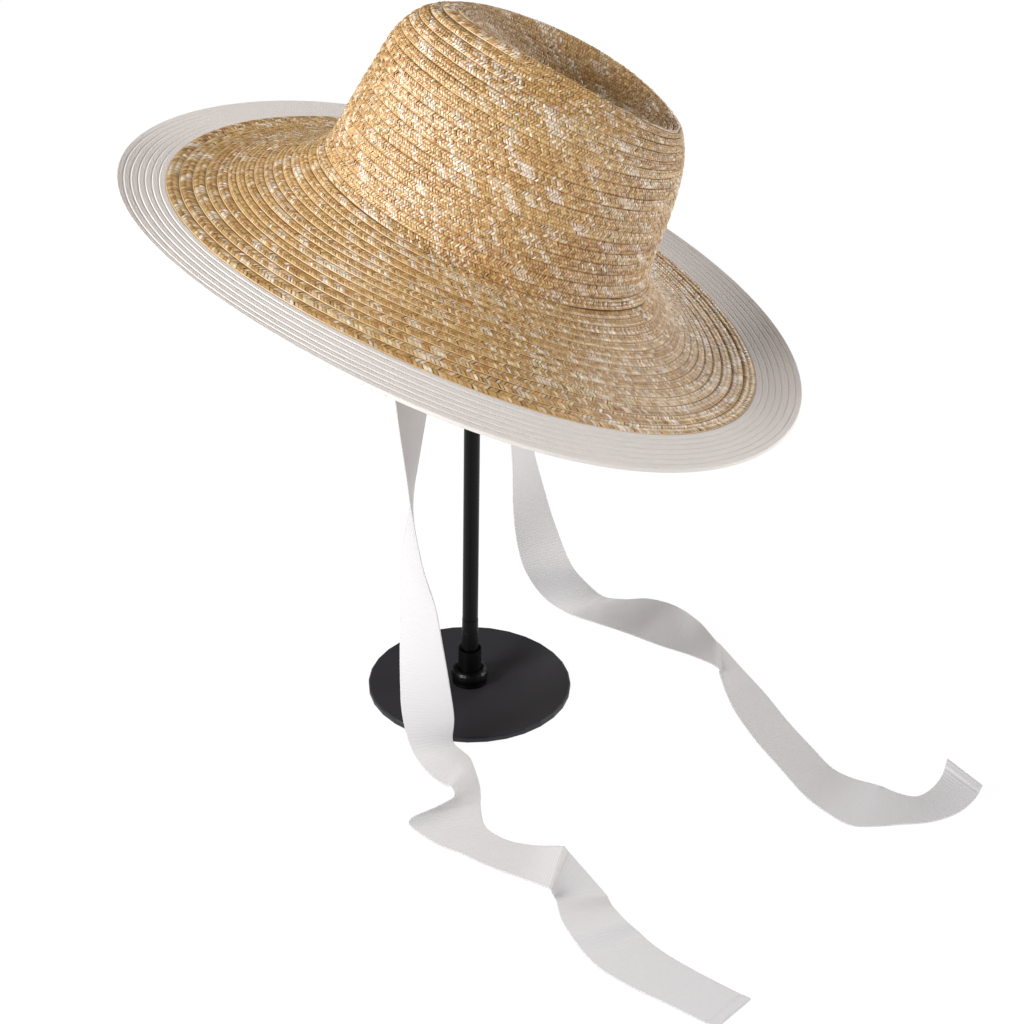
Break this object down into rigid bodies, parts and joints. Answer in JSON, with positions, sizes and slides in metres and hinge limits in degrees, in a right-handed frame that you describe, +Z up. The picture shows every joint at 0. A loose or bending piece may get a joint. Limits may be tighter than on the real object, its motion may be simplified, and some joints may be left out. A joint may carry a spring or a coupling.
{
  "type": "wide-brim straw hat with ribbon ties on a display stand",
  "caption": "Wide-brim straw hat with a dented crown, a white braid edge and long white ribbon ties, held tilted on a black round-based display stand.",
  "frame": {"origin": "centre of the flat underside of the stand's base, on the surface it stands on", "axes": "Z up along the post, X towards the hat's front, Y across to the hat's left"},
  "size_m": [0.492, 0.502, 0.4297],
  "materials": {
    "stand_base": "satin black paint",
    "stand_collar": "satin black paint",
    "stand_sleeve": "satin black paint",
    "stand_ferrule": "satin black paint",
    "stand_post": "satin black paint",
    "stand_head": "satin black paint",
    "crown_straw": "plaited wheat straw, natural gold",
    "brim_straw": "plaited wheat straw, natural gold",
    "white_braid": "fine woven white braid",
    "ribbon_near": "white ribbed ribbon",
    "ribbon_far": "white ribbed ribbon"
  },
  "bodies": {
    "root": {"stand_base": "stand_base", "stand_collar": "stand_collar", "stand_sleeve": "stand_sleeve", "stand_ferrule": "stand_ferrule", "stand_post": "stand_post", "stand_head": "stand_head", "crown": "crown_straw", "brim": "brim_straw", "brim_edge": "white_braid", "ribbon_near": "ribbon_near", "ribbon_far": "ribbon_far"}
  },
  "joints": []
}
